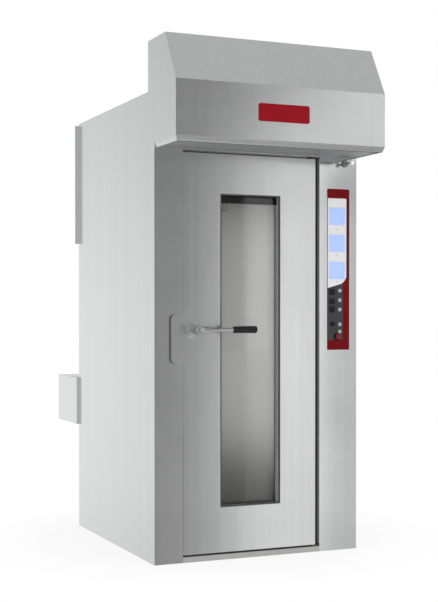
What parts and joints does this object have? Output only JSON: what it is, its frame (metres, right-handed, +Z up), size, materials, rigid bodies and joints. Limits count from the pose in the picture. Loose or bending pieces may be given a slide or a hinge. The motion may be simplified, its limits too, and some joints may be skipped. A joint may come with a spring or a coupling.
{
  "type": "rotating rack oven",
  "caption": "Free-standing stainless steel bakery oven for one rotating rack, with a windowed door, steam hood, control column and rear service box.",
  "frame": {"origin": "centre of the cabinet's footprint, on the floor; the hood in front and the service box behind reach past the footprint", "axes": "+Z up; -Y is the front, with the door and the hood; +X is to the right for someone who faces the door"},
  "size_m": [1.142, 1.876, 2.512],
  "materials": {
    "stainless": "satin brushed stainless steel sheet",
    "chamber_steel": "heat-tinted stainless steel sheet",
    "base_steel": "dark painted steel",
    "mineral_wool": "pressed mineral wool board",
    "dark_steel": "oxidised or blackened steel",
    "machine_steel": "turned and galvanised steel",
    "motor_paint": "grey motor enamel",
    "polished_steel": "polished steel",
    "white_ball": "glossy white thermoset ball",
    "black_plastic": "ribbed black phenolic plastic",
    "red_panel": "dark red coated plate",
    "printed_film": "printed polyester film",
    "display": "lilac display window",
    "circuit_board": "green laminate",
    "stop_red": "red moulded plastic",
    "badge_red": "red enamelled plate, bare",
    "glass": "clear tempered glass",
    "seal_rubber": "black silicone seal",
    "lamp_glass": "frosted lamp glass",
    "belt_rubber": "black ribbed belt",
    "gate_steel": "stainless steel rod and plate"
  },
  "bodies": {
    "cabinet": {"base_frame": "base_steel", "left_jamb": "stainless", "control_column": "stainless", "header_panel": "stainless", "left_side_panel": "stainless", "right_side_panel": "stainless", "rear_panel": "stainless", "roof_panel": "stainless", "insulation_slabs": "mineral_wool", "air_outlet_panel": "chamber_steel", "chamber_right_wall": "chamber_steel", "chamber_back_wall": "chamber_steel", "chamber_ceiling": "chamber_steel", "chamber_floor": "chamber_steel", "heating_elements": "dark_steel", "fan_motor": "motor_paint", "steam_generator": "machine_steel", "chamber_lamps": "lamp_glass", "exhaust_duct": "chamber_steel", "drive_bridge": "machine_steel", "drive_motor": "motor_paint", "drive_belt": "belt_rubber", "hood_cheeks": "stainless", "hood_fascia": "stainless", "hood_roof": "stainless", "hood_back": "stainless", "hood_underside": "stainless", "badge_plate": "badge_red", "control_panel": "red_panel", "panel_film": "printed_film", "display_windows": "display", "control_board": "circuit_board", "latch_keeper": "stainless", "hinge_blocks": "dark_steel", "rear_cover_plate": "stainless", "rear_box": "stainless", "cable_gland": "black_plastic"},
    "door": {"hinge_pins": "machine_steel", "door_rails": "stainless", "door_stiles": "stainless", "door_inner_frame": "chamber_steel", "door_insulation": "mineral_wool", "door_glass": "glass", "window_trim": "stainless", "door_gasket": "seal_rubber", "escutcheon": "polished_steel"},
    "lever": {"lever_arm": "polished_steel", "lever_grip": "black_plastic"},
    "rack_carrier": {"hook_shaft": "machine_steel", "rack_hook": "machine_steel", "driven_pulley": "machine_steel"},
    "motor_pulley": {"drive_pulley": "machine_steel"},
    "fan_rotor": {"fan_impeller": "machine_steel"},
    "damper": {"damper_slide": "gate_steel", "damper_knob": "white_ball"},
    "button_one": {"push_button_1": "black_plastic"},
    "button_two": {"push_button_2": "black_plastic"},
    "button_three": {"push_button_3": "black_plastic"},
    "key": {"key_switch": "black_plastic"},
    "stop": {"stop_button": "stop_red"}
  },
  "joints": [
    {"name": "door_hinge", "type": "hinge", "parent": "cabinet", "child": "door", "pos_m": [0.305, -0.598, 1], "axis": [0, 0, 1], "range_deg": [0, 115]},
    {"name": "lever_turn", "type": "hinge", "parent": "door", "child": "lever", "pos_m": [-0.359, -0.66, 1.125], "axis": [0, 1, 0], "range_deg": [0, 90]},
    {"name": "rack_spin", "type": "hinge", "parent": "cabinet", "child": "rack_carrier", "pos_m": [-0.045, -0.093, 2], "axis": [0, 0, 1], "continuous": true},
    {"name": "motor_spin", "type": "hinge", "parent": "cabinet", "child": "motor_pulley", "pos_m": [0.215, -0.093, 2.05], "axis": [0, 0, 1], "continuous": true},
    {"name": "fan_spin", "type": "hinge", "parent": "cabinet", "child": "fan_rotor", "pos_m": [-0.045, 0.49, 0.707], "axis": [0, 1, 0], "continuous": true},
    {"name": "damper_pull", "type": "slide", "parent": "cabinet", "child": "damper", "axis": [0, 1, 0], "range_m": [0, 0.05]},
    {"name": "button_one_press", "type": "slide", "parent": "cabinet", "child": "button_one", "axis": [0, 1, 0], "range_m": [0, 0.003], "stiffness_N_per_m": 300},
    {"name": "button_two_press", "type": "slide", "parent": "cabinet", "child": "button_two", "axis": [0, 1, 0], "range_m": [0, 0.003], "stiffness_N_per_m": 300},
    {"name": "button_three_press", "type": "slide", "parent": "cabinet", "child": "button_three", "axis": [0, 1, 0], "range_m": [0, 0.003], "stiffness_N_per_m": 300},
    {"name": "key_turn", "type": "hinge", "parent": "cabinet", "child": "key", "pos_m": [0.41, -0.61, 1.149], "axis": [0, 1, 0], "range_deg": [0, 90]},
    {"name": "stop_press", "type": "slide", "parent": "cabinet", "child": "stop", "axis": [0, 1, 0], "range_m": [0, 0.005], "stiffness_N_per_m": 400}
  ],
  "couplings": [
    {"joint": "motor_spin", "follows": "rack_spin", "ratio": 3}
  ]
}
